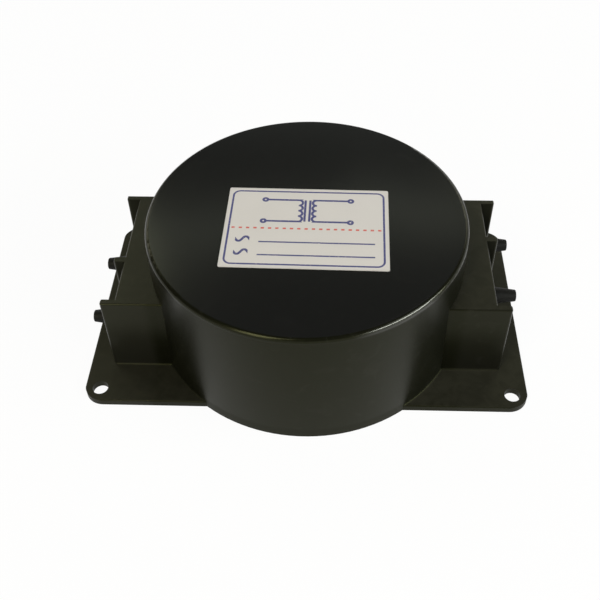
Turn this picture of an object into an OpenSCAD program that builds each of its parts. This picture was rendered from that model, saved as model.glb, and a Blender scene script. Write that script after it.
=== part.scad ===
// Potted toroidal transformer: a moulded drum with two wings on a four-hole flange, its coil cast in resin.
// Millimetres. The origin is on the drum's axis in the plane that the flange stands on, +Z up, wings along X.

/* [Drum] */
// Outer diameter of the drum at its foot
drum_d = 130; // [120:1:145]
// Height of the drum's top face
drum_h = 58.5; // [54:0.5:70]
// Draft of the drum's side, degrees
drum_draft = 0.4; // [0:0.1:1]
// Rounding of the drum's top rim
rim_r = 1.8; // [0.8:0.1:2.4]
// Wall thickness of the moulding
wall = 2.5; // [2:0.1:3]
// Thickness of the drum's top
roof = 3; // [2:0.1:4]

/* [Flange] */
// Width of the flange, along X
flange_w = 181; // [178:1:200]
// Depth of the flange, along Y
flange_d = 103; // [90:1:110]
// Thickness of the flange
flange_t = 3; // [2.5:0.1:5]
// Rounding of the flange's corners
corner_r = 8; // [5:0.5:12]
// Distance of each hole's centre from the flange's edges
hole_inset = 6.3; // [6:0.1:9]
// Diameter of the mounting holes
hole_d = 6.4; // [4:0.1:8]
// Rounding of the flange's upper edges
flange_edge_r = 0.6; // [0.3:0.1:1]
// Root fillet where the drum and the wings stand on the flange
root_r = 0.8; // [0.4:0.1:1.5]

/* [Wings] */
// Distance over the wings' outer walls, along X
wing_w = 150; // [147:1:160]
// Depth of each wing, along Y
wing_d = 65; // [63:1:75]
// Height of the wings' flat tops
wing_h = 40; // [34:0.5:46]
// Rounding of the wings' upper edges
wing_edge_r = 0.7; // [0.5:0.1:2]
// Reach of the end ribs beyond the outer walls
rib_reach = 5.7; // [3:0.1:6]
// Reach of the middle rib beyond the outer wall
mid_rib_reach = 4.5; // [3:0.1:6]
// Thickness of the ribs
rib_t = 2.6; // [2.4:0.1:3.4]
// Rounding of the ribs' outer edges
rib_edge_r = 1; // [0.5:0.1:1]
// Offset of the middle rib from the wing's centre line
rib_shift = 7.5; // [4:0.5:8]

/* [Lead outlets] */
// Distance between the two leads of one wing
lead_pitch = 30.5; // [26:0.5:31]
// Gap between the outer bush's collar and the inside of the wing's long wall
lead_wall_gap = 2.25; // [1:0.25:4]
// Height of the leads
lead_z = 22; // [18:0.5:24]
// Diameter of the bush's bore
bush_bore_d = 3.6; // [3:0.1:4.2]
// Diameter of the hole that holds the bush's neck
bush_hole_d = 6.2; // [5.8:0.1:7.5]
// Diameter of the bush's shoulder on the outer wall
bush_root_d = 8; // [7.8:0.1:10]
// Diameter of the bush's tip
bush_tip_d = 5; // [4.8:0.1:6.4]
// Reach of the bush beyond the outer wall
bush_reach = 12.5; // [9:0.5:14]
// Rounding of the bush's tip
bush_tip_r = 0.5; // [0.3:0.1:1]
// Diameter of the bush's inner collar
bush_collar_d = 10; // [9:0.1:11]
// Thickness of the bush's inner collar
bush_collar_t = 2; // [1.5:0.1:2.5]
// Diameter of the sleeve on a winding's tail
sleeve_d = 3; // [2.8:0.1:3]
// Depth to which a sleeve is seated in its bush
sleeve_seat = 3; // [2:0.5:4]
// Diameter of a primary tail
primary_tail_d = 1; // [0.8:0.1:1.6]
// Diameter of a secondary tail
secondary_tail_d = 2.2; // [1.6:0.1:2.4]

/* [Coil] */
// Inner diameter of the core
core_id = 54; // [52:1:60]
// Film on the core
core_film_t = 1; // [0.6:0.1:1.4]
// Build of the primary winding on the core's outside
primary_t = 1.9; // [1.4:0.1:2.2]
// Film between the windings
inter_film_t = 0.8; // [0.5:0.1:1.2]
// Build of the secondary winding on the core's outside
secondary_t = 1.8; // [1.4:0.1:2.1]
// Outer wrap of the coil
outer_film_t = 1; // [0.6:0.1:1.4]
// Rounding of the core's edges
core_edge_r = 0.6; // [0.3:0.1:1]
// Resin between the coil and the drum's wall
resin_side = 3.6; // [2.5:0.1:5]
// Resin between the coil and the drum's top
resin_top = 1.5; // [0.8:0.1:3]
// Resin under the coil
resin_cover = 2.6; // [1.5:0.1:4]
// How far the resin's surface lies inside the case's open underside
resin_recess = 1.2; // [0.5:0.1:2]

/* [Label] */
// Width of the label
label_w = 65; // [50:1:70]
// Depth of the label
label_d = 46; // [35:0.5:50]
// Thickness of the label
label_t = 0.2; // [0.1:0.05:0.3]
// Rounding of the label's corners
label_corner_r = 0.8; // [0.4:0.1:2]
// Distance of the label's centre from the drum's axis, towards the front
label_shift = 6.8; // [0:0.1:10]
// Turn of the label, degrees
label_turn = -1; // [-3:0.5:3]

/* [Hidden] */
$fn = 96;
eps = 0.01;

// The drum's side leans in by its draft, outside and inside alike
drum_r = drum_d / 2;
function drum_r_at(z) = drum_r - z * tan(drum_draft);
roof_z = drum_h - roof;
cavity_r = drum_r - wall;
cavity_roof_r = drum_r_at(roof_z) - wall;

// Outer radii of the coil's layers, from the outer wrap inwards to the core
coil_r = cavity_roof_r - resin_side;
secondary_r = coil_r - outer_film_t;
inter_r = secondary_r - secondary_t;
primary_r = inter_r - inter_film_t;
core_film_r = primary_r - primary_t;
core_r = core_film_r - core_film_t;

// Bore radii: a winding's turns fill the same area in the bore as on the outside
core_bore = core_id / 2;
core_film_bore = core_bore - core_film_t;
primary_bore = sqrt(core_film_bore ^ 2 - (primary_r ^ 2 - core_film_r ^ 2));
inter_bore = primary_bore - inter_film_t;
secondary_bore = sqrt(inter_bore ^ 2 - (secondary_r ^ 2 - inter_r ^ 2));
coil_bore = secondary_bore - outer_film_t;

// Heights of the layers: on the flat faces a winding's build is the mean of its inner and outer build
primary_face_t = (primary_t + core_film_bore - primary_bore) / 2;
secondary_face_t = (secondary_t + inter_bore - secondary_bore) / 2;
coil_top = roof_z - resin_top;
coil_foot = resin_recess + resin_cover;
coil_h = coil_top - coil_foot;
coil_mid = (coil_top + coil_foot) / 2;
secondary_h = coil_h - 2 * outer_film_t;
inter_h = secondary_h - 2 * secondary_face_t;
primary_h = inter_h - 2 * inter_film_t;
core_film_h = primary_h - 2 * primary_face_t;
core_h = core_film_h - 2 * core_film_t;

// Edge roundings grow with each layer
core_film_edge_r = core_edge_r + core_film_t;
primary_edge_r = core_film_edge_r + primary_t;
inter_edge_r = primary_edge_r + inter_film_t;
secondary_edge_r = inter_edge_r + secondary_t;
coil_edge_r = secondary_edge_r + outer_film_t;

// Leads 1 and 2 leave the wing at -X, leads 3 and 4 the wing at +X, the first one turned by half a turn
wing_x = wing_w / 2;
outer_lead_y = wing_d / 2 - wall - lead_wall_gap - bush_collar_d / 2;
lead_y = [outer_lead_y - lead_pitch, outer_lead_y];
lead_start_x = (core_bore + core_r) / 2;
bush_inner_x = wing_x - wall - bush_collar_t;
bush_h = bush_collar_t + wall + bush_reach;
sleeve_end_x = bush_inner_x + sleeve_seat;

// Moves a shape that stands on the origin to lead i, with its foot at x and its axis pointing out of the wing
module at_lead(i, x) {
    turn = i < 2 ? 180 : 0;
    rotate([0, 0, turn]) translate([x, lead_y[i % 2], lead_z]) rotate([0, 90, 0]) children();
}

// A rectangle about the origin with rounded corners
module rounded_rect(w, d, r) {
    square([w, d - 2 * r], center = true);
    square([w - 2 * r, d], center = true);
    for (x = [-1, 1], y = [-1, 1]) translate([x * (w / 2 - r), y * (d / 2 - r)]) circle(r);
}

// A ring about the drum's axis with a rounded section, centred on the coil's middle
module coil_ring(r_in, r_out, h, edge_r) {
    translate([0, 0, coil_mid])
        rotate_extrude() translate([(r_in + r_out) / 2, 0]) rounded_rect(r_out - r_in, h, edge_r);
}

// The solid outlines of the coil's layers
module core_form() { coil_ring(core_bore, core_r, core_h, core_edge_r); }
module core_film_form() { coil_ring(core_film_bore, core_film_r, core_film_h, core_film_edge_r); }
module primary_form() { coil_ring(primary_bore, primary_r, primary_h, primary_edge_r); }
module inter_form() { coil_ring(inter_bore, inter_r, inter_h, inter_edge_r); }
module secondary_form() { coil_ring(secondary_bore, secondary_r, secondary_h, secondary_edge_r); }
module coil_form() { coil_ring(coil_bore, coil_r, coil_h, coil_edge_r); }

// A rod along lead i, from inside the core's section to the sleeve's end
module lead_rod(i, d) {
    at_lead(i, lead_start_x) cylinder(d = d, h = sleeve_end_x - lead_start_x);
}

// The drum's outside: its rim is an arc that meets the leaning side and the flat top
module drum_form() {
    rim_x = drum_r_at(drum_h) - rim_r * tan(45 - drum_draft / 2);
    rim_z = drum_h - rim_r;
    rotate_extrude() {
        polygon([[0, 0], [drum_r, 0], [rim_x + rim_r * cos(drum_draft), rim_z + rim_r * sin(drum_draft)],
                 [rim_x, drum_h], [0, drum_h]]);
        translate([rim_x, rim_z]) circle(rim_r);
    }
}

// Rounds the upper edges of what stands on the base within a box of this size
module soften(w, d, h, r) {
    intersection() {
        children();
        rotate([90, 0, 90]) translate([0, 0, -w]) linear_extrude(2 * w) rounded_rect(d, 2 * h, r);
        rotate([90, 0, 0]) translate([0, 0, -d]) linear_extrude(2 * d) rounded_rect(w, 2 * h, r);
    }
}

// Ribs that stand out from the outer wall at +X
module wing_ribs(places, reach) {
    rib_len = reach + wall;
    soften(wing_w + 2 * reach, wing_d, wing_h, wing_edge_r)
        linear_extrude(wing_h) for (y = places)
            translate([wing_x + reach - rib_len / 2, y]) rounded_rect(rib_len, rib_t, rib_edge_r);
}

// The wing at +X: a box, end ribs flush with its long faces and a middle rib
module wing_form() {
    rib_y = (wing_d - rib_t) / 2;
    soften(wing_w, wing_d, wing_h, wing_edge_r)
        translate([0, -wing_d / 2, 0]) cube([wing_x, wing_d, wing_h]);
    wing_ribs([-rib_y, rib_y], rib_reach);
    wing_ribs([rib_shift], mid_rib_reach);
}

module flange_plan() {
    rounded_rect(flange_w, flange_d, corner_r);
}

module flange_form() {
    soften(flange_w, flange_d, flange_t, flange_edge_r) linear_extrude(flange_t) flange_plan();
}

// Section of a fillet at the foot of a wall: the wall's face is at zero and leans back by lean degrees
module root_section(lean) {
    foot = root_r * tan(45 - lean / 2);
    top = root_r * (1 - sin(lean));
    difference() {
        polygon([[-wall / 2, 0], [foot, 0], [foot, root_r], [foot - root_r * cos(lean), top],
                 [-wall / 2, top]]);
        translate([foot, root_r]) circle(root_r);
    }
}

// The fillets where the drum and the wings' long faces stand on the flange
module root_fillets() {
    run = wing_w + 2 * rib_reach - 2 * rib_edge_r;
    intersection() {
        translate([0, 0, flange_t]) {
            rotate_extrude() translate([drum_r_at(flange_t), 0]) root_section(drum_draft);
            for (turn = [0, 180]) rotate([0, 0, turn])
                translate([-run / 2, wing_d / 2, 0]) rotate([90, 0, 90]) linear_extrude(run) root_section(0);
        }
        linear_extrude(drum_h) flange_plan();
    }
}

// The hollow of the case, open underneath
module cavity() {
    rotate_extrude() polygon([[0, -eps], [cavity_r, -eps], [cavity_roof_r, roof_z], [0, roof_z]]);
    translate([-wing_x + wall, -wing_d / 2 + wall, -eps])
        cube([wing_w - 2 * wall, wing_d - 2 * wall, wing_h - wall + eps]);
}

module case() {
    color([0.10, 0.10, 0.10]) difference() {
        union() {
            drum_form();
            flange_form();
            for (turn = [0, 180]) rotate([0, 0, turn]) wing_form();
            root_fillets();
        }
        cavity();
        for (x = [-1, 1], y = [-1, 1])
            translate([x * (flange_w / 2 - hole_inset), y * (flange_d / 2 - hole_inset), -eps])
                cylinder(d = hole_d, h = flange_t + 2 * eps);
        for (i = [0:3]) at_lead(i, wing_x - wall - eps) cylinder(d = bush_hole_d, h = wall + 2 * eps);
    }
}

// The resin fills what the coil, the sleeves and the bushes leave of the hollow
module potting_resin() {
    color([0.16, 0.15, 0.14]) difference() {
        intersection() {
            cavity();
            translate([-wing_w, -wing_w, resin_recess]) cube([2 * wing_w, 2 * wing_w, drum_h]);
        }
        coil_form();
        for (i = [0:3]) {
            lead_rod(i, sleeve_d);
            at_lead(i, bush_inner_x) cylinder(d = bush_collar_d, h = bush_collar_t + eps);
        }
    }
}

module toroid_core() { color([0.45, 0.46, 0.48]) core_form(); }

module core_insulation() {
    color([0.85, 0.80, 0.55]) difference() {
        core_film_form();
        core_form();
    }
}

module primary_winding() {
    color([0.72, 0.38, 0.20]) {
        difference() {
            primary_form();
            core_film_form();
        }
        for (i = [0, 1]) difference() {
            lead_rod(i, primary_tail_d);
            core_film_form();
        }
    }
}

module interwinding_insulation() {
    color([0.85, 0.80, 0.55]) difference() {
        inter_form();
        primary_form();
        for (i = [0, 1]) lead_rod(i, sleeve_d);
    }
}

module secondary_winding() {
    color([0.75, 0.42, 0.22]) {
        difference() {
            secondary_form();
            inter_form();
            for (i = [0, 1]) lead_rod(i, sleeve_d);
        }
        for (i = [2, 3]) difference() {
            lead_rod(i, secondary_tail_d);
            inter_form();
        }
    }
}

module outer_insulation() {
    color([0.88, 0.84, 0.60]) difference() {
        coil_form();
        secondary_form();
        for (i = [0:3]) lead_rod(i, sleeve_d);
    }
}

// A sleeve runs from its winding's outer face to its seat in the bush
module tail_sleeve(i) {
    tail_d = i < 2 ? primary_tail_d : secondary_tail_d;
    color([0.20, 0.20, 0.22]) difference() {
        lead_rod(i, sleeve_d);
        at_lead(i, lead_start_x - eps) cylinder(d = tail_d, h = sleeve_end_x - lead_start_x + 2 * eps);
        if (i < 2) primary_form();
        else secondary_form();
    }
}

// A bush: a collar inside the wall, a neck in the hole, a tapered nose outside and a seat for the sleeve
module lead_bush(i) {
    nose_z = bush_collar_t + wall;
    tip_z = bush_h - bush_tip_r;
    color([0.07, 0.07, 0.07]) at_lead(i, bush_inner_x) difference() {
        rotate_extrude() {
            square([bush_collar_d / 2, bush_collar_t]);
            square([bush_hole_d / 2, nose_z]);
            polygon([[0, nose_z], [bush_root_d / 2, nose_z], [bush_tip_d / 2, tip_z], [0, tip_z]]);
            square([bush_tip_d / 2 - bush_tip_r, bush_h]);
            translate([bush_tip_d / 2 - bush_tip_r, tip_z]) circle(bush_tip_r);
        }
        translate([0, 0, -eps]) cylinder(d = sleeve_d, h = bush_h);
        translate([0, 0, sleeve_seat]) cylinder(d = bush_bore_d, h = bush_h);
    }
}

module rating_label() {
    color([0.88, 0.89, 0.92]) translate([0, -label_shift, drum_h]) rotate([0, 0, label_turn])
        linear_extrude(label_t) rounded_rect(label_w, label_d, label_corner_r);
}

case();
potting_resin();
toroid_core();
core_insulation();
primary_winding();
interwinding_insulation();
secondary_winding();
outer_insulation();
tail_sleeve(0);  // tail_sleeve_1
tail_sleeve(1);  // tail_sleeve_2
tail_sleeve(2);  // tail_sleeve_3
tail_sleeve(3);  // tail_sleeve_4
lead_bush(0);  // lead_bush_1
lead_bush(1);  // lead_bush_2
lead_bush(2);  // lead_bush_3
lead_bush(3);  // lead_bush_4
rating_label();
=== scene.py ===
"""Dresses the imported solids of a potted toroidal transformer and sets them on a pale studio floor.

Every solid keeps its shape: the scene gives each one a procedural finish, and adds a floor, a backdrop,
lamps and a camera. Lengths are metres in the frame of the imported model, unless a name ends in _mm or a
docstring says so.
"""

from __future__ import annotations

import logging
import math
from dataclasses import dataclass
from enum import Enum
from typing import Mapping, Sequence, Union

import bpy
from mathutils import Matrix, Vector


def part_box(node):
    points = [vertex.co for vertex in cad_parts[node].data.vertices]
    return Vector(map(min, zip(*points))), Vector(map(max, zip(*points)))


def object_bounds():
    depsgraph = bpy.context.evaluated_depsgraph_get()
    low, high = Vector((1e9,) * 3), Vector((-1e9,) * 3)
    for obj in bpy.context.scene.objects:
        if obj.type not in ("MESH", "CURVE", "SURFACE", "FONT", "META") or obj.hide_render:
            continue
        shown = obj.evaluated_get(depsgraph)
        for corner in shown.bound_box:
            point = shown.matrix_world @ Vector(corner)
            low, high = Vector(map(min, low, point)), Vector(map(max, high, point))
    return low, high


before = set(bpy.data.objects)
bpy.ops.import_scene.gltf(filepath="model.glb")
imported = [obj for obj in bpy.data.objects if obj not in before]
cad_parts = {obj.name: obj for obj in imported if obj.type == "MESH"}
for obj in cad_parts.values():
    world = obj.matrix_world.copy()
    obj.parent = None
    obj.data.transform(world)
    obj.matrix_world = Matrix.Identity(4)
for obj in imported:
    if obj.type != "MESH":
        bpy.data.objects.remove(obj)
CAD_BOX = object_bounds()

LOG = logging.getLogger("transformer")
MM = 0.001

Colour = tuple[float, float, float]
Point = tuple[float, float, float]
Span = tuple[float, float]
Key = Union[str, int]
Feed = Union["Value", float, int, Sequence[float], bpy.types.NodeSocket]


class Body(Enum):
    """The bodies that pieces ride on."""

    ROOT = "root"


class Slot(Enum):
    """The record's material slots."""

    PLASTIC = "black_plastic"
    RESIN = "resin"
    STEEL = "core_steel"
    FILM = "film"
    COPPER = "copper"
    SLEEVE = "sleeve"
    RUBBER = "bush_rubber"
    PAPER = "label_paper"


class Value:
    """A shader value: sums, products and other maths on it add Math nodes to its graph."""

    def __init__(self, graph: "Graph", socket: bpy.types.NodeSocket) -> None:
        """Wraps an output socket of a graph."""
        self.graph = graph
        self.socket = socket

    def math(self, operation: str, *others: Feed) -> "Value":
        """Applies one Math operation to this value and the others."""
        return self.graph.math(operation, self, *others)

    def __add__(self, other: Feed) -> "Value":
        """Adds."""
        return self.math("ADD", other)

    __radd__ = __add__

    def __sub__(self, other: Feed) -> "Value":
        """Subtracts."""
        return self.math("SUBTRACT", other)

    def __rsub__(self, other: Feed) -> "Value":
        """Subtracts this value from the other."""
        return self.graph.math("SUBTRACT", other, self)

    def __mul__(self, other: Feed) -> "Value":
        """Multiplies."""
        return self.math("MULTIPLY", other)

    __rmul__ = __mul__

    def __truediv__(self, other: Feed) -> "Value":
        """Divides."""
        return self.math("DIVIDE", other)

    def __rtruediv__(self, other: Feed) -> "Value":
        """Divides the other by this value."""
        return self.graph.math("DIVIDE", other, self)

    def __pow__(self, power: Feed) -> "Value":
        """Raises to a power."""
        return self.math("POWER", power)

    def __mod__(self, step: Feed) -> "Value":
        """Keeps the remainder that is never negative."""
        return self.math("FLOORED_MODULO", step)

    def __abs__(self) -> "Value":
        """Drops the sign."""
        return self.math("ABSOLUTE")

    def lowest(self, other: Feed) -> "Value":
        """The lower of two values."""
        return self.math("MINIMUM", other)

    def highest(self, other: Feed) -> "Value":
        """The higher of two values."""
        return self.math("MAXIMUM", other)

    def ramp(self, start: float, end: float, low: float = 0.0, high: float = 1.0) -> "Value":
        """Goes smoothly from low to high while this value goes from start to end.

        Args:
            start: where the ramp leaves low.
            end: where it reaches high; it may lie below start.
            low: the result before start.
            high: the result past end.

        Returns:
            The ramp as a value.
        """
        made = self.graph.node(
            "ShaderNodeMapRange",
            {"interpolation_type": "SMOOTHSTEP", "clamp": True},
            {"Value": self, "From Min": start, "From Max": end, "To Min": low, "To Max": high},
        )
        return self.graph.value(made)


@dataclass(frozen=True)
class Grain:
    """Soft noise: its patches' width, how many finer layers it has and how far it is drawn out of shape."""

    size_mm: float
    detail: float
    twist: float = 0.0


@dataclass(frozen=True)
class Relief:
    """How a height from 0 to 1 bends the normal: the depth that it stands for and its strength."""

    depth_mm: float
    strength: float


class Graph:
    """The node tree of one material or of the world, with short ways to add nodes to it."""

    def __init__(self, tree: bpy.types.NodeTree) -> None:
        """Empties a node tree for use."""
        self.tree = tree
        tree.nodes.clear()

    def feed(self, target: bpy.types.NodeSocket, source: Feed) -> None:
        """Links a source to an input, or sets the input to a constant.

        Args:
            target: the input socket.
            source: a value or a socket to link, or the constant to set.
        """
        if isinstance(source, Value):
            self.tree.links.new(source.socket, target)
        elif isinstance(source, bpy.types.NodeSocket):
            self.tree.links.new(source, target)
        elif isinstance(source, (int, float)):
            target.default_value = source
        else:
            numbers = tuple(source)
            is_colour = target.type == "RGBA" and len(numbers) == 3
            target.default_value = (*numbers, 1.0) if is_colour else numbers

    def node(
        self,
        kind: str,
        settings: Mapping[str, object] | None = None,
        inputs: Mapping[Key, Feed] | None = None,
    ) -> bpy.types.Node:
        """Adds a node.

        Args:
            kind: the node's type.
            settings: its own properties, which are set first.
            inputs: constants or links for its sockets, by name or by number.

        Returns:
            The new node.
        """
        made = self.tree.nodes.new(kind)
        for name, setting in (settings or {}).items():
            setattr(made, name, setting)
        for key, source in (inputs or {}).items():
            self.feed(made.inputs[key], source)
        return made

    def value(self, made: bpy.types.Node, output: Key = 0) -> Value:
        """Wraps one output of a node."""
        return Value(self, made.outputs[output])

    def math(self, operation: str, *terms: Feed) -> Value:
        """Adds a Math node for the terms."""
        return self.value(self.node("ShaderNodeMath", {"operation": operation}, dict(enumerate(terms))))

    def mix(self, share: Feed, first: Feed, second: Feed) -> bpy.types.NodeSocket:
        """Mixes two colours: share 0 is all first, share 1 all second."""
        made = self.node("ShaderNodeMix", {"data_type": "RGBA"}, {0: share, 6: first, 7: second})
        return made.outputs[2]

    def vector(self, operation: str, *terms: Feed) -> bpy.types.NodeSocket:
        """Adds a Vector Math node whose result is a vector."""
        made = self.node("ShaderNodeVectorMath", {"operation": operation}, dict(enumerate(terms)))
        return made.outputs["Vector"]

    def place(self) -> bpy.types.NodeSocket:
        """The point of the model that is shaded."""
        return self.node("ShaderNodeTexCoord").outputs["Object"]

    def axes(self, point: Feed) -> tuple[Value, Value, Value]:
        """Splits a vector into its three values."""
        made = self.node("ShaderNodeSeparateXYZ", None, {0: point})
        return self.value(made, 0), self.value(made, 1), self.value(made, 2)

    def facing_up(self) -> Value:
        """How far the surface faces up, from -1 to 1."""
        return self.axes(self.node("ShaderNodeNewGeometry").outputs["Normal"])[2]

    def noise(self, point: Feed, grain: Grain) -> Value:
        """Soft noise from 0 to 1.

        Args:
            point: the coordinates that it follows.
            grain: what it looks like.

        Returns:
            The noise as a value.
        """
        scale = 1.0 / (grain.size_mm * MM)
        made = self.node(
            "ShaderNodeTexNoise",
            {"noise_dimensions": "3D"},
            {"Vector": point, "Scale": scale, "Detail": grain.detail, "Distortion": grain.twist},
        )
        return self.value(made, "Fac")

    def cells(self, point: Feed, pitch_mm: float) -> Value:
        """Distance to the nearest of many scattered points, in pitches."""
        made = self.node("ShaderNodeTexVoronoi", None, {"Vector": point, "Scale": 1.0 / (pitch_mm * MM)})
        return self.value(made, "Distance")

    def bump(self, height: Feed, relief: Relief) -> bpy.types.NodeSocket:
        """A normal that follows a height.

        Args:
            height: the height, from 0 to 1.
            relief: how it bends the normal.

        Returns:
            The socket of the bent normal.
        """
        made = self.node(
            "ShaderNodeBump",
            None,
            {"Strength": relief.strength, "Distance": relief.depth_mm * MM, "Height": height},
        )
        return made.outputs["Normal"]

    def surface(self, inputs: Mapping[Key, Feed]) -> None:
        """Ends the graph in one Principled surface."""
        shader = self.node("ShaderNodeBsdfPrincipled", None, inputs)
        self.output(shader.outputs[0])

    def output(self, shader: bpy.types.NodeSocket) -> None:
        """Links a shader to the material's output."""
        self.node("ShaderNodeOutputMaterial", None, {"Surface": shader})


@dataclass(frozen=True)
class Finish:
    """A finish: one procedural material."""

    name: str

    def paint(self, graph: Graph) -> None:
        """Fills the material's node tree."""
        raise NotImplementedError

    def material(self) -> bpy.types.Material:
        """Makes the material.

        Returns:
            The new material.
        """
        made = bpy.data.materials.new(self.name)
        made.use_nodes = True
        self.paint(Graph(made.node_tree))
        return made


@dataclass(frozen=True, kw_only=True)
class MouldedPlastic(Finish):
    """Black moulded plastic, as on a case that has been handled.

    It has fine pores, flow clouds and rub marks. The drum's top is polished and painted a lighter bluish
    sheen. The wings have painted light on them, most on the left one. Low ledges that face up are
    unevenly lighter. All reflections have a painted warm tint, and one stretch of the rim is glossier.
    Its turn is counted from +X to +Y.
    """

    name: str = "moulded_plastic"
    rim_height: float

    black: Colour = (0.0062, 0.0065, 0.0040)
    # Tone of rub marks and scuffs, and of the painted light on the wings.
    rubbed_and_painted_light: Colour = (0.0142, 0.0142, 0.0118)
    # Lighter tone mixed unevenly onto low ledges that face up.
    dusty: Colour = (0.0230, 0.0226, 0.0176)
    # Painted sheen: the lighter, bluish tone of the drum's flat top.
    painted_top_sheen: Colour = (0.0115, 0.0118, 0.0132)
    rub_share: float = 0.5
    scuff_share: float = 0.4
    top_sheen_share: float = 0.8

    gloss: float = 0.13
    # Painted warm tint on every reflection, standing in for warm light.
    painted_reflection_tint: Colour = (0.97, 1.0, 0.48)
    roughness: float = 0.31
    polish: float = 0.14
    rim_polish_share: float = 0.5
    cloud_rough: float = 0.10
    rub_rough: float = 0.05
    scuff_rough: float = 0.06
    dust_rough: float = 0.04
    foot_rough: float = 0.14
    top_evenness: float = 0.7

    rim_coat: float = 0.07
    rim_coat_roughness: float = 0.18
    handled_coat: float = 0.88
    handled_turn_deg: float = -55.5
    handled_span: Span = (0.945, 0.995)

    clouds: Grain = Grain(26.0, 3.0, 0.6)
    rubs: Grain = Grain(9.0, 4.0, 1.4)
    rub_span: Span = (0.56, 0.74)
    scuffs: Grain = Grain(0.9, 2.0)
    scuff_stretch: Point = (0.06, 1.0, 1.0)
    scuff_span: Span = (0.70, 0.78)
    specks: Grain = Grain(5.0, 4.0, 0.8)
    speck_span: Span = (0.25, 0.70)
    speck_least: float = 0.55
    pores: Grain = Grain(0.42, 3.0)
    pore_height: float = 0.8
    cloud_height: float = 0.2
    top_smoothness: float = 0.85
    relief: Relief = Relief(0.020, 0.55)

    rim_radius: float = 0.0650
    rim_width: float = 0.0030
    rim_edge: float = 0.0012
    top_facing: Span = (0.965, 0.995)
    top_fade_start: float = 0.0006
    top_fade_end: float = 0.0002
    ledge_facing: Span = (0.80, 0.99)
    ledge_height: float = 0.0420
    ledge_fade: float = 0.004
    wing_start: float = 0.0600
    wing_fade: float = 0.005
    wing_cross: float = 0.02
    # How much of the wings' painted light the right wing gets.
    right_wing_light_share: float = 0.50
    foot_height: float = 0.0038
    foot_fade: float = 0.002

    def paint(self, graph: Graph) -> None:
        """Fills the material's node tree.

        Args:
            graph: the tree to fill.
        """
        point = graph.place()
        x, y, z = graph.axes(point)
        level = graph.facing_up()
        radius = (x * x + y * y) ** 0.5
        clouds = graph.noise(point, self.clouds)
        rubs = graph.noise(point, self.rubs).ramp(*self.rub_span)
        long_point = graph.vector("MULTIPLY", point, self.scuff_stretch)
        scuffs = graph.noise(long_point, self.scuffs).ramp(*self.scuff_span) * rubs
        pores = graph.noise(point, self.pores)
        rim = self.rim_zone(radius, z)
        handled = self.handled_zone(x, y, radius)
        top = self.top_zone(level, z)
        specks = graph.noise(point, self.specks).ramp(*self.speck_span, self.speck_least)
        dust = self.ledge_zone(level, z) * specks
        foot = z.ramp(self.foot_height + self.foot_fade, self.foot_height)

        # Rub marks and scuffs are real wear; the wing term is painted light, strongest on the left wing.
        marks = (rubs * self.rub_share + scuffs * self.scuff_share + self.painted_wing_light(x)).lowest(1.0)
        tint = graph.mix(marks, self.black, self.rubbed_and_painted_light)
        # Painted sheen: the drum's flat top is mixed to a lighter, bluish tone.
        tint = graph.mix(top * self.top_sheen_share, tint, self.painted_top_sheen)
        # Low ledges that face up are mixed unevenly to a lighter tone.
        tint = graph.mix(dust, tint, self.dusty)
        uneven = (clouds - 0.5) * self.cloud_rough + rubs * self.rub_rough + scuffs * self.scuff_rough
        rough = uneven * (1.0 - top * self.top_evenness) + self.roughness
        rough = rough - (rim * self.rim_polish_share).highest(top) * self.polish
        rough = rough + dust * self.dust_rough + foot * self.foot_rough
        height = pores * self.pore_height + clouds * self.cloud_height
        height = height * (1.0 - top * self.top_smoothness)
        graph.surface(
            {
                "Base Color": tint,
                "Roughness": rough,
                "Specular IOR Level": self.gloss,
                "Specular Tint": self.painted_reflection_tint,
                "Coat Weight": rim * (handled * self.handled_coat + self.rim_coat),
                "Coat Roughness": self.rim_coat_roughness,
                "Normal": graph.bump(height, self.relief),
            }
        )

    def rim_zone(self, radius: Value, z: Value) -> Value:
        """Where the drum's rim is, from 0 to 1.

        Args:
            radius: the distance from the drum's axis.
            z: the height.

        Returns:
            The zone as a value.
        """
        outer = radius.ramp(self.rim_radius - self.rim_width, self.rim_radius - self.rim_edge)
        upper = z.ramp(self.rim_height - self.rim_width, self.rim_height - self.rim_edge)
        return outer * upper

    def handled_zone(self, x: Value, y: Value, radius: Value) -> Value:
        """The turns at which the case is handled most."""
        turn = math.radians(self.handled_turn_deg)
        return ((x * math.cos(turn) + y * math.sin(turn)) / radius).ramp(*self.handled_span)

    def top_zone(self, level: Value, z: Value) -> Value:
        """Where the drum's flat top is, from how far it faces up and its height."""
        upper = z.ramp(self.rim_height - self.top_fade_start, self.rim_height - self.top_fade_end)
        return level.ramp(*self.top_facing) * upper

    def ledge_zone(self, level: Value, z: Value) -> Value:
        """Where low ledges are, from how far they face up and their height."""
        lower = z.ramp(self.ledge_height + self.ledge_fade, self.ledge_height)
        return level.ramp(*self.ledge_facing) * lower

    def painted_wing_light(self, x: Value) -> Value:
        """Painted light on the wings: 1 on the left one, less on the right one."""
        outer = abs(x).ramp(self.wing_start, self.wing_start + self.wing_fade)
        return outer * x.ramp(self.wing_cross, -self.wing_cross, self.right_wing_light_share)


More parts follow.
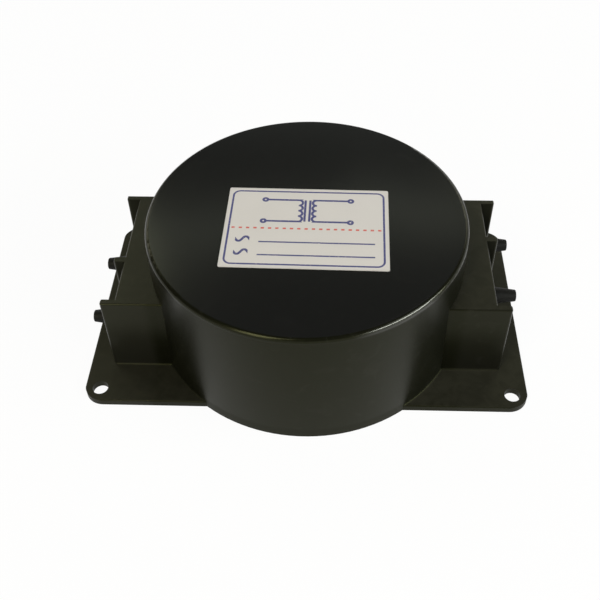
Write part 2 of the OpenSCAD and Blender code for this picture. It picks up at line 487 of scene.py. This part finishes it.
@dataclass(frozen=True)
class CastResin(Finish):
    """Potting resin: dark, nearly level, with a few burst bubbles and a dull skin."""

    name: str = "cast_resin"
    dark: Colour = (0.016, 0.0155, 0.0145)
    dusty: Colour = (0.045, 0.043, 0.040)
    dust_share: float = 0.5
    roughness: float = 0.20
    skin_rough: float = 0.22
    dust_rough: float = 0.2
    skin: Grain = Grain(18.0, 4.0, 0.8)
    dust: Grain = Grain(3.0, 5.0)
    dust_span: Span = (0.55, 0.80)
    pit_pitch_mm: float = 4.2
    pit_span: Span = (0.16, 0.05)
    skin_height: float = 0.7
    pit_height: float = 0.5
    relief: Relief = Relief(0.25, 0.6)

    def paint(self, graph: Graph) -> None:
        """Fills the material's node tree.

        Args:
            graph: the tree to fill.
        """
        point = graph.place()
        skin = graph.noise(point, self.skin)
        pits = graph.cells(point, self.pit_pitch_mm).ramp(*self.pit_span)
        dust = graph.noise(point, self.dust).ramp(*self.dust_span)
        height = skin * self.skin_height - pits * self.pit_height
        graph.surface(
            {
                "Base Color": graph.mix(dust * self.dust_share, self.dark, self.dusty),
                "Roughness": skin * self.skin_rough + self.roughness + dust * self.dust_rough,
                "Normal": graph.bump(height, self.relief),
            }
        )


@dataclass(frozen=True)
class WoundSteel(Finish):
    """The core's wound strip: fine concentric rings on its faces."""

    name: str = "wound_steel"
    bright: Colour = (0.46, 0.47, 0.50)
    shade: Colour = (0.20, 0.21, 0.23)
    line_share: float = 0.7
    heat_share: float = 0.2
    roughness: float = 0.28
    heat_rough: float = 0.15
    line_rough: float = 0.12
    strip_mm: float = 0.35
    line_span: Span = (0.72, 0.98)
    heat: Grain = Grain(14.0, 3.0)
    relief: Relief = Relief(0.03, 0.6)

    def paint(self, graph: Graph) -> None:
        """Fills the material's node tree.

        Args:
            graph: the tree to fill.
        """
        point = graph.place()
        x, y, _ = graph.axes(point)
        radius = (x * x + y * y) ** 0.5 / MM
        edge = abs((radius / self.strip_mm) % 1.0 - 0.5) * 2.0
        line = edge.ramp(*self.line_span)
        heat = graph.noise(point, self.heat)
        shaded = line * self.line_share + heat * self.heat_share
        graph.surface(
            {
                "Base Color": graph.mix(shaded, self.bright, self.shade),
                "Metallic": 1.0,
                "Roughness": heat * self.heat_rough + self.roughness + line * self.line_rough,
                "Normal": graph.bump(1.0 - line, self.relief),
            }
        )


@dataclass(frozen=True)
class WrappedFilm(Finish):
    """Polyester film wrapped through the bore: slanted overlaps that darken where they double."""

    name: str = "wrapped_film"
    single: Colour = (0.72, 0.60, 0.26)
    double: Colour = (0.55, 0.42, 0.14)
    lap_share: float = 0.7
    crinkle_share: float = 0.2
    roughness: float = 0.24
    crinkle_rough: float = 0.20
    wraps: int = 44
    slant_per_metre: float = 22.0
    lap_span: Span = (0.42, 0.45)
    edge_rise: Span = (0.40, 0.44)
    edge_fall: Span = (0.52, 0.46)
    crinkle: Grain = Grain(2.2, 4.0, 0.5)
    lap_height: float = 0.6
    edge_height: float = 0.2
    crinkle_height: float = 0.3
    relief: Relief = Relief(0.12, 0.7)

    def paint(self, graph: Graph) -> None:
        """Fills the material's node tree.

        Args:
            graph: the tree to fill.
        """
        point = graph.place()
        x, y, z = graph.axes(point)
        angle = graph.math("ARCTAN2", y, x) / math.tau
        across = (angle * self.wraps + z * self.slant_per_metre) % 1.0
        lap = across.ramp(*self.lap_span)
        edge = across.ramp(*self.edge_rise) * across.ramp(*self.edge_fall)
        crinkle = graph.noise(point, self.crinkle)
        doubled = lap * self.lap_share + crinkle * self.crinkle_share
        height = lap * self.lap_height + edge * self.edge_height + crinkle * self.crinkle_height
        graph.surface(
            {
                "Base Color": graph.mix(doubled, self.single, self.double),
                "Roughness": crinkle * self.crinkle_rough + self.roughness,
                "Normal": graph.bump(height, self.relief),
            }
        )


@dataclass(frozen=True)
class EnamelledCopper(Finish):
    """Enamelled wire laid turn by turn through the bore, with painted shade in the grooves between turns.
    """

    name: str
    turns: int
    crown: Colour = (0.52, 0.20, 0.075)
    # Painted shade: the darker tone in the grooves between turns.
    groove_painted_shade: Colour = (0.16, 0.05, 0.018)
    crown_span: Span = (0.1, 0.8)
    metal: float = 0.85
    enamel_coat: float = 0.5
    roughness: float = 0.24
    enamel_rough: float = 0.18
    enamel: Grain = Grain(5.0, 3.0)
    drift: Grain = Grain(16.0, 2.0)
    drift_turns: float = 0.6
    relief: Relief = Relief(0.35, 0.8)

    def paint(self, graph: Graph) -> None:
        """Fills the material's node tree.

        Args:
            graph: the tree to fill.
        """
        point = graph.place()
        x, y, _ = graph.axes(point)
        drift = graph.noise(point, self.drift) * self.drift_turns
        turn = graph.math("ARCTAN2", y, x) * (self.turns / math.tau) + drift
        across = (turn % 1.0) * 2.0 - 1.0
        crown = (1.0 - across * across).highest(0.0) ** 0.5
        enamel = graph.noise(point, self.enamel)
        graph.surface(
            {
                # The grooves between turns are painted darker, as shade.
                "Base Color": graph.mix(crown.ramp(*self.crown_span), self.groove_painted_shade, self.crown),
                "Metallic": self.metal,
                "Roughness": enamel * self.enamel_rough + self.roughness,
                "Coat Weight": self.enamel_coat,
                "Normal": graph.bump(crown, self.relief),
            }
        )


@dataclass(frozen=True)
class ShrunkSleeve(Finish):
    """Shrunk sleeve: faint rings along X and a waxy surface."""

    name: str = "shrunk_sleeve"
    dark: Colour = (0.030, 0.030, 0.034)
    worn: Colour = (0.060, 0.060, 0.066)
    wax_share: float = 0.6
    roughness: float = 0.35
    wax_rough: float = 0.2
    wax: Grain = Grain(1.6, 3.0)
    rings: Grain = Grain(0.8, 2.0)
    ring_stretch: Point = (1.0, 0.12, 0.12)
    relief: Relief = Relief(0.05, 0.6)

    def paint(self, graph: Graph) -> None:
        """Fills the material's node tree.

        Args:
            graph: the tree to fill.
        """
        point = graph.place()
        long_point = graph.vector("MULTIPLY", point, self.ring_stretch)
        rings = graph.noise(long_point, self.rings)
        wax = graph.noise(point, self.wax)
        graph.surface(
            {
                "Base Color": graph.mix(wax * self.wax_share, self.dark, self.worn),
                "Roughness": wax * self.wax_rough + self.roughness,
                "Normal": graph.bump(rings, self.relief),
            }
        )


@dataclass(frozen=True)
class MouldedRubber(Finish):
    """Soft black rubber: dull, fine-grained, with a little bloom on what faces up."""

    name: str = "moulded_rubber"
    black: Colour = (0.0090, 0.0090, 0.0080)
    bloom: Colour = (0.0160, 0.0158, 0.0140)
    bloom_share: float = 0.5
    bloom_facing: Span = (-0.2, 0.9)
    gloss: float = 0.12
    roughness: float = 0.50
    haze_rough: float = 0.12
    haze: Grain = Grain(2.4, 4.0, 0.6)
    haze_span: Span = (0.42, 0.72)
    pores: Grain = Grain(0.28, 3.0)
    relief: Relief = Relief(0.03, 0.6)

    def paint(self, graph: Graph) -> None:
        """Fills the material's node tree.

        Args:
            graph: the tree to fill.
        """
        point = graph.place()
        pores = graph.noise(point, self.pores)
        haze = graph.noise(point, self.haze).ramp(*self.haze_span)
        bloomed = haze * graph.facing_up().ramp(*self.bloom_facing)
        graph.surface(
            {
                "Base Color": graph.mix(bloomed * self.bloom_share, self.black, self.bloom),
                "Roughness": haze * self.haze_rough + self.roughness,
                "Specular IOR Level": self.gloss,
                "Normal": graph.bump(pores, self.relief),
            }
        )


@dataclass(frozen=True)
class LabelPrint:
    """Ways to draw on the label. All lengths are millimetres, and places are counted from its middle."""

    across: Value
    up: Value
    soft: float = 0.07
    sharp_corner: float = 0.05
    loop_end: float = 0.15

    def ink(self, distance: Value, half_line: float) -> Value:
        """A line of ink along zero distance."""
        return abs(distance).ramp(half_line + self.soft, half_line - self.soft)

    def fill(self, distance: Value) -> Value:
        """Ink wherever the distance is below zero."""
        return distance.ramp(self.soft, -self.soft)

    def outline(self, half_w: float, half_h: float, corner: float) -> Value:
        """Distance from a rectangle with round corners about the label's middle."""
        return self.rectangle(0.0, 0.0, half_w, half_h, corner)

    def bar(self, x: float, y: float, half_w: float, half_h: float) -> Value:
        """Ink of a filled rectangle."""
        return self.fill(self.rectangle(x, y, half_w, half_h, self.sharp_corner))

    def rectangle(self, x: float, y: float, half_w: float, half_h: float, corner: float) -> Value:
        """Distance from a rectangle with round corners.

        Args:
            x: its middle across the label.
            y: its middle up the label.
            half_w: half its width.
            half_h: half its height.
            corner: the radius of its corners.

        Returns:
            The distance, below zero inside.
        """
        aside = abs(self.across - x) - (half_w - corner)
        above = abs(self.up - y) - (half_h - corner)
        out = (aside.highest(0.0) ** 2.0 + above.highest(0.0) ** 2.0) ** 0.5
        return out + aside.highest(above).lowest(0.0) - corner

    def dot(self, x: float, y: float, radius: float) -> Value:
        """Distance from a circle."""
        return ((self.across - x) ** 2.0 + (self.up - y) ** 2.0) ** 0.5 - radius

    def coil(self, x: float, y: float, loops: int, loop_r: float, side: int, half_line: float) -> Value:
        """Ink of a row of half loops up the label, as a winding is drawn in a circuit.

        Args:
            x: where the loops start.
            y: the middle of the row.
            loops: how many there are.
            loop_r: the radius of one.
            side: 1 where they bulge to the right, -1 to the left.
            half_line: half the width of the line.

        Returns:
            The ink as a value.
        """
        reach = loops * loop_r
        local = (self.up - (y - reach)) % (2.0 * loop_r) - loop_r
        aside = (self.across - x) * side
        ring = (aside ** 2.0 + local ** 2.0) ** 0.5 - loop_r
        within = self.fill(abs(self.up - y) - reach - half_line)
        return self.ink(ring, half_line) * aside.ramp(-self.loop_end, 0.0) * within

    def wave(self, x: float, y: float, length: float, height: float, half_line: float) -> Value:
        """Ink of one sine wave, the sign for alternating current.

        Args:
            x: its middle across the label.
            y: its middle up the label.
            length: how far it reaches from end to end.
            height: how far it rises from its middle.
            half_line: half the width of the line.

        Returns:
            The ink as a value.
        """
        phase = (self.across - x) * (math.tau / length)
        line = (self.up - y) - phase.math("SINE") * height
        slope = (phase.math("COSINE") * (height * math.tau / length)) ** 2.0 + 1.0
        within = abs(self.across - x).ramp(length / 2.0 + self.soft, length / 2.0 - self.soft)
        return self.ink(line / slope ** 0.5, half_line) * within

    def dashes(self, y: float, reach: float, count: int, share: float, half_line: float) -> Value:
        """Ink of a dashed line across the label.

        Args:
            y: where it lies up the label.
            reach: how far it goes to each side.
            count: how many dashes it has.
            share: how much of it is dash.
            half_line: half the width of the line.

        Returns:
            The ink as a value.
        """
        pitch = 2.0 * reach / count
        local = abs((self.across + reach) % pitch - pitch / 2.0) - pitch * share / 2.0
        within = self.fill(abs(self.across) - reach)
        return self.fill(local) * self.ink(self.up - y, half_line) * within


@dataclass(frozen=True)
class LabelDrawing:
    """What the label shows: a border, a dashed line, a winding diagram and two ruled rows.

    All lengths are millimetres, and places are counted from the label's middle. Each _half is half a
    rectangle's width and height, and each _line is half a line's width.
    """

    sheet_half: Span = (32.5, 23.0)
    sheet_corner: float = 0.8
    wear_span: Span = (-1.3, -0.1)
    border_half: Span = (30.6, 21.05)
    border_corner: float = 2.8
    border_line: float = 0.40
    dash_level: float = -1.0
    dash_reach: float = 30.3
    dash_count: int = 21
    dash_share: float = 0.46
    dash_line: float = 0.45
    diagram_level: float = 9.6
    diagram_reach: float = 6.4
    diagram_line: float = 0.50
    coil_place: float = 3.6
    coil_loops: int = 4
    loop_radius: float = 1.6
    core_place: float = 0.95
    core_half: Span = (0.45, 6.4)
    lead_place: float = 10.0
    lead_half: Span = (6.4, 0.50)
    terminal_place: float = 17.3
    terminal_radius: float = 0.9
    row_levels: Span = (-7.4, -14.6)
    wave_place: float = -24.6
    wave_length: float = 5.6
    wave_height: float = 1.25
    wave_line: float = 0.55
    rule_place: float = 4.4
    rule_drop: float = 1.4
    rule_half: Span = (22.6, 0.36)

    def worn_edge(self, marks: LabelPrint) -> Value:
        """How worn the sheet is, from 0 inside to 1 at its edge."""
        return marks.outline(*self.sheet_half, self.sheet_corner).ramp(*self.wear_span)

    def red_ink(self, marks: LabelPrint) -> Value:
        """All that is printed in red."""
        reach, count = self.dash_reach, self.dash_count
        return marks.dashes(self.dash_level, reach, count, self.dash_share, self.dash_line)

    def blue_ink(self, marks: LabelPrint) -> Value:
        """All that is printed in blue.

        Args:
            marks: the ways to draw.

        Returns:
            The ink, which is above 1 where two marks cross.
        """
        middle, line = self.diagram_level, self.diagram_line
        ink = marks.ink(marks.outline(*self.border_half, self.border_corner), self.border_line)
        for side in (-1, 1):
            start = side * self.coil_place
            ink = ink + marks.coil(start, middle, self.coil_loops, self.loop_radius, -side, line)
            ink = ink + marks.bar(side * self.core_place, middle, *self.core_half)
            for end in (-1, 1):
                level = middle + end * self.diagram_reach
                ink = ink + marks.bar(side * self.lead_place, level, *self.lead_half)
                terminal = marks.dot(side * self.terminal_place, level, self.terminal_radius)
                ink = ink + marks.ink(terminal, line)
        for row in self.row_levels:
            ink = ink + marks.wave(self.wave_place, row, self.wave_length, self.wave_height, self.wave_line)
            ink = ink + marks.bar(self.rule_place, row - self.rule_drop, *self.rule_half)
        return ink


@dataclass(frozen=True, kw_only=True)
class PrintedPaper(Finish):
    """Coated label paper with its drawing, printed about a middle and turned about +Z."""

    name: str = "printed_paper"
    middle: Point
    turn_deg: float
    drawing: LabelDrawing = LabelDrawing()
    paper: Colour = (0.71, 0.68, 0.69)
    greyed: Colour = (0.60, 0.575, 0.585)
    blue: Colour = (0.065, 0.068, 0.220)
    red: Colour = (0.640, 0.130, 0.110)
    cloud_share: float = 0.35
    fibre_share: float = 0.25
    wear_share: float = 0.35
    roughness: float = 0.40
    fibre_rough: float = 0.14
    ink_polish: float = 0.08
    fibre: Grain = Grain(0.6, 4.0)
    clouds: Grain = Grain(14.0, 2.0)
    ink_span: Span = (0.30, 0.42)
    ink_least: float = 0.55
    fibre_height: float = 0.5
    cloud_height: float = 0.5
    relief: Relief = Relief(0.02, 0.5)

    def paint(self, graph: Graph) -> None:
        """Fills the material's node tree.

        Args:
            graph: the tree to fill.
        """
        point = graph.place()
        moved = graph.vector("SUBTRACT", point, self.middle)
        turned = graph.node(
            "ShaderNodeVectorRotate",
            {"rotation_type": "Z_AXIS"},
            {"Vector": moved, "Angle": -math.radians(self.turn_deg)},
        )
        across, up, _ = graph.axes(turned.outputs[0])
        marks = LabelPrint(across / MM, up / MM)
        fibre = graph.noise(point, self.fibre)
        clouds = graph.noise(point, self.clouds)
        wear = self.drawing.worn_edge(marks)
        blue = self.drawing.blue_ink(marks).lowest(1.0)
        red = self.drawing.red_ink(marks)
        kept = fibre.ramp(*self.ink_span, self.ink_least)
        grey = clouds * self.cloud_share + fibre * self.fibre_share + wear * self.wear_share
        tone = graph.mix(grey, self.paper, self.greyed)
        tone = graph.mix(blue * kept, tone, self.blue)
        tone = graph.mix(red * kept, tone, self.red)
        graph.surface(
            {
                "Base Color": tone,
                "Roughness": fibre * self.fibre_rough + self.roughness - blue * self.ink_polish,
                "Normal": graph.bump(fibre * self.fibre_height + clouds * self.cloud_height, self.relief),
            }
        )


@dataclass(frozen=True)
class StudioWhite(Finish):
    """The floor and the backdrop: white with a faint shadow where seen or mirrored, and else pale."""

    name: str = "studio_white"
    white: Colour = (0.93, 0.93, 0.93)
    pale: Colour = (0.56, 0.55, 0.43)
    glow: Colour = (1.0, 1.0, 1.0)
    glow_share: float = 0.95

    def paint(self, graph: Graph) -> None:
        """Fills the material's node tree.

        Args:
            graph: the tree to fill.
        """
        rays = graph.node("ShaderNodeLightPath")
        seen = graph.value(rays, "Is Camera Ray").highest(graph.value(rays, "Is Transmission Ray"))
        seen = seen.highest(graph.value(rays, "Is Glossy Ray"))
        pale = graph.node("ShaderNodeBsdfDiffuse", None, {"Color": self.pale}).outputs[0]
        white = graph.node("ShaderNodeBsdfDiffuse", None, {"Color": self.white}).outputs[0]
        glow = graph.node("ShaderNodeEmission", None, {"Color": self.glow, "Strength": 1.0}).outputs[0]
        shown = graph.node("ShaderNodeMixShader", None, {0: self.glow_share, 1: white, 2: glow}).outputs[0]
        graph.output(graph.node("ShaderNodeMixShader", None, {0: seen, 1: pale, 2: shown}).outputs[0])


Outfit = dict[str, tuple[Finish, Slot]]


@dataclass
class SubAssembly:
    """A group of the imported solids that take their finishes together."""

    def solids(self) -> Outfit:
        """Names each solid with its finish and its slot."""
        raise NotImplementedError

    def dress(self) -> None:
        """Gives each solid its finish."""
        made: dict[Finish, bpy.types.Material] = {}
        for name, (finish, slot) in self.solids().items():
            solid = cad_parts[name]
            if finish not in made:
                made[finish] = finish.material()
            solid.data.materials.clear()
            solid.data.materials.append(made[finish])
            LOG.info("%s: %s on body %s", name, finish.name, Body.ROOT.value)


@dataclass
class Housing(SubAssembly):
    """The moulded case with its label."""

    case: str = "case"
    label: str = "rating_label"
    label_turn_deg: float = -1.0

    def solids(self) -> Outfit:
        """Names each solid with its finish and its slot.

        Returns:
            The finish and the slot by the solid's name.
        """
        low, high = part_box(self.label)
        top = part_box(self.case)[1].z
        middle = (low + high) / 2.0
        paper = PrintedPaper(middle=(middle.x, middle.y, top), turn_deg=self.label_turn_deg)
        return {
            self.case: (MouldedPlastic(rim_height=top), Slot.PLASTIC),
            self.label: (paper, Slot.PAPER),
        }


@dataclass
class LeadOutlets(SubAssembly):
    """The bushes in the wings' outer walls and the sleeves that end in them."""

    count: int = 4
    rubber: MouldedRubber = MouldedRubber()
    sleeve: ShrunkSleeve = ShrunkSleeve()

    def solids(self) -> Outfit:
        """Names each solid with its finish and its slot.

        Returns:
            The finish and the slot by the solid's name.
        """
        named: Outfit = {}
        for number in range(1, self.count + 1):
            named[f"lead_bush_{number}"] = (self.rubber, Slot.RUBBER)
            named[f"tail_sleeve_{number}"] = (self.sleeve, Slot.SLEEVE)
        return named


@dataclass
class PottedCoil(SubAssembly):
    """The coil's layers and the resin that they are cast in."""

    primary_turns: int = 180
    secondary_turns: int = 64
    film: WrappedFilm = WrappedFilm()

    def solids(self) -> Outfit:
        """Names each solid with its finish and its slot.

        Returns:
            The finish and the slot by the solid's name.
        """
        return {
            "toroid_core": (WoundSteel(), Slot.STEEL),
            "core_insulation": (self.film, Slot.FILM),
            "primary_winding": (EnamelledCopper("primary_wire", self.primary_turns), Slot.COPPER),
            "interwinding_insulation": (self.film, Slot.FILM),
            "secondary_winding": (EnamelledCopper("secondary_wire", self.secondary_turns), Slot.COPPER),
            "outer_insulation": (self.film, Slot.FILM),
            "potting_resin": (CastResin(), Slot.RESIN),
        }


class LampTint(Enum):
    """The tints that the lamps are given."""

    SIDE = (0.97, 1.0, 0.97)
    FRONT = (1.0, 0.97, 0.74)
    FRONT_TALL = (1.0, 0.95, 0.74)
    BACK_RIGHT = (1.0, 0.99, 0.86)
    BACK_LEFT = (1.0, 0.97, 0.86)
    BAND = (0.80, 0.84, 0.95)
    WING = (0.97, 1.0, 0.94)


@dataclass(frozen=True)
class Lamp:
    """A soft area lamp, turned from the part's front towards +X and raised, that points at the part."""

    name: str
    turn_deg: float
    rise_deg: float
    width: float
    height: float
    watts: float
    tint: LampTint

    def build(self, target: Vector, distance: float) -> None:
        """Makes the lamp.

        Args:
            target: the point that it is aimed at.
            distance: how far from that point it hangs.
        """
        data = bpy.data.lights.new(self.name, "AREA")
        data.shape = "RECTANGLE"
        data.size = self.width
        data.size_y = self.height
        data.energy = self.watts
        data.color = self.tint.value
        lamp = bpy.data.objects.new(self.name, data)
        turn, rise = math.radians(self.turn_deg), math.radians(self.rise_deg)
        away = Vector((math.sin(turn) * math.cos(rise), -math.cos(turn) * math.cos(rise), math.sin(rise)))
        lamp.location = target + away * distance
        lamp.rotation_euler = away.to_track_quat("Z", "Y").to_euler()
        bpy.context.scene.collection.objects.link(lamp)


@dataclass
class Studio:
    """The floor, the backdrop, the lamps, the dim room round them and the camera.

    The camera's eye, the direction back from the view and the direction to the right were fitted to the
    photograph, as were the lens and the picture's centre, in pixels of a square picture.
    """

    floor_half: float = 3.2
    wall_radius: float = 3.0
    wall_height: float = 1.1
    wall_sides: int = 96
    room: Colour = (0.010, 0.010, 0.010)
    lamps: tuple[Lamp, ...] = (
        Lamp("lamp_right", 66.0, 25.0, 1.00, 0.16, 10.0, LampTint.SIDE),
        Lamp("lamp_right_tall", 74.0, 36.0, 0.40, 0.60, 1.5, LampTint.SIDE),
        Lamp("lamp_front", -30.0, 50.0, 0.34, 0.34, 2.8, LampTint.FRONT),
        Lamp("lamp_front_tall", -32.0, 32.0, 0.36, 0.56, 4.0, LampTint.FRONT_TALL),
        Lamp("lamp_back_right", 150.0, 30.0, 0.50, 0.34, 1.4, LampTint.BACK_RIGHT),
        Lamp("lamp_back_left", -128.0, 31.0, 0.50, 0.50, 2.2, LampTint.BACK_LEFT),
        Lamp("lamp_band_left", -161.5, 43.9, 0.22, 0.05, 0.106, LampTint.BAND),
        Lamp("lamp_band_middle", -177.0, 43.4, 0.20, 0.05, 0.071, LampTint.BAND),
        Lamp("lamp_band_right", 170.4, 42.5, 0.20, 0.05, 0.105, LampTint.BAND),
        Lamp("lamp_band_low", 180.0, 34.0, 0.50, 0.06, 0.104, LampTint.BAND),
        Lamp("lamp_wing_left", -152.0, 42.0, 0.18, 0.24, 0.500, LampTint.WING),
    )
    lamp_distance: float = 1.1
    eye: Point = (0.01085, -0.25654, 0.29022)
    back: Point = (0.0296, -0.7007, 0.7128)
    right: Point = (0.9995, 0.0310, -0.0111)
    lens_px: float = 864.198
    centre_px: Span = (307.663, 267.313)
    image_px: float = 600.0
    sensor_mm: float = 36.0
    clip_start: float = 0.01

    def build(self) -> None:
        """Makes everything round the part."""
        white = StudioWhite().material()
        low, high = CAD_BOX
        for piece in (self.floor(low.z), self.wall(low.z)):
            piece.data.materials.append(white)
        target = (low + high) / 2.0
        for lamp in self.lamps:
            lamp.build(target, self.lamp_distance)
            LOG.info("%s: %.2f W", lamp.name, lamp.watts)
        self.light_room()
        self.set_camera()

    def mesh(self, name: str, points: Sequence[Point], faces: Sequence[Sequence[int]]) -> bpy.types.Object:
        """Makes a mesh object in the scene.

        Args:
            name: the object's name.
            points: its corners.
            faces: the corners of each face, by number.

        Returns:
            The new object.
        """
        data = bpy.data.meshes.new(name)
        data.from_pydata(list(points), [], [list(face) for face in faces])
        made = bpy.data.objects.new(name, data)
        bpy.context.scene.collection.objects.link(made)
        return made

    def floor(self, level: float) -> bpy.types.Object:
        """Makes the floor that the part stands on.

        Args:
            level: its height.

        Returns:
            The floor.
        """
        half = self.floor_half
        corners = [(-half, -half, level), (half, -half, level), (half, half, level), (-half, half, level)]
        return self.mesh("floor", corners, [(0, 1, 2, 3)])

    def wall(self, level: float) -> bpy.types.Object:
        """Makes the low round backdrop.

        Args:
            level: the height of its foot.

        Returns:
            The backdrop.
        """
        points: list[Point] = []
        for index in range(self.wall_sides):
            angle = math.tau * index / self.wall_sides
            x, y = self.wall_radius * math.cos(angle), self.wall_radius * math.sin(angle)
            points += [(x, y, level), (x, y, level + self.wall_height)]
        total = len(points)
        faces = [(i, (i + 2) % total, (i + 3) % total, i + 1) for i in range(0, total, 2)]
        return self.mesh("backdrop", points, faces)

    def light_room(self) -> None:
        """Lights the room dimly and evenly."""
        world = bpy.data.worlds.new("room")
        world.use_nodes = True
        graph = Graph(world.node_tree)
        glow = graph.node("ShaderNodeBackground", None, {"Color": self.room, "Strength": 1.0})
        graph.node("ShaderNodeOutputWorld", None, {"Surface": glow.outputs[0]})
        bpy.context.scene.world = world

    def set_camera(self) -> None:
        """Places the camera at the photograph's viewpoint."""
        data = bpy.data.cameras.new("camera")
        data.sensor_width = self.sensor_mm
        data.lens = self.lens_px / self.image_px * self.sensor_mm
        data.shift_x = 0.5 - self.centre_px[0] / self.image_px
        data.shift_y = self.centre_px[1] / self.image_px - 0.5
        data.clip_start = self.clip_start
        back = Vector(self.back).normalized()
        right = Vector(self.right)
        right = (right - back * right.dot(back)).normalized()
        up = back.cross(right)
        camera = bpy.data.objects.new("camera", data)
        turn = Matrix((right, up, back)).transposed().to_4x4()
        camera.matrix_world = Matrix.Translation(Vector(self.eye)) @ turn
        bpy.context.scene.collection.objects.link(camera)
        bpy.context.scene.camera = camera


def main() -> None:
    """Dresses the part and sets the studio round it."""
    logging.basicConfig(level=logging.INFO, format="%(name)s: %(message)s")
    bpy.context.scene.view_settings.view_transform = "Standard"
    for group in (Housing(), LeadOutlets(), PottedCoil()):
        group.dress()
    Studio().build()


if __name__ == "__main__":
    main()
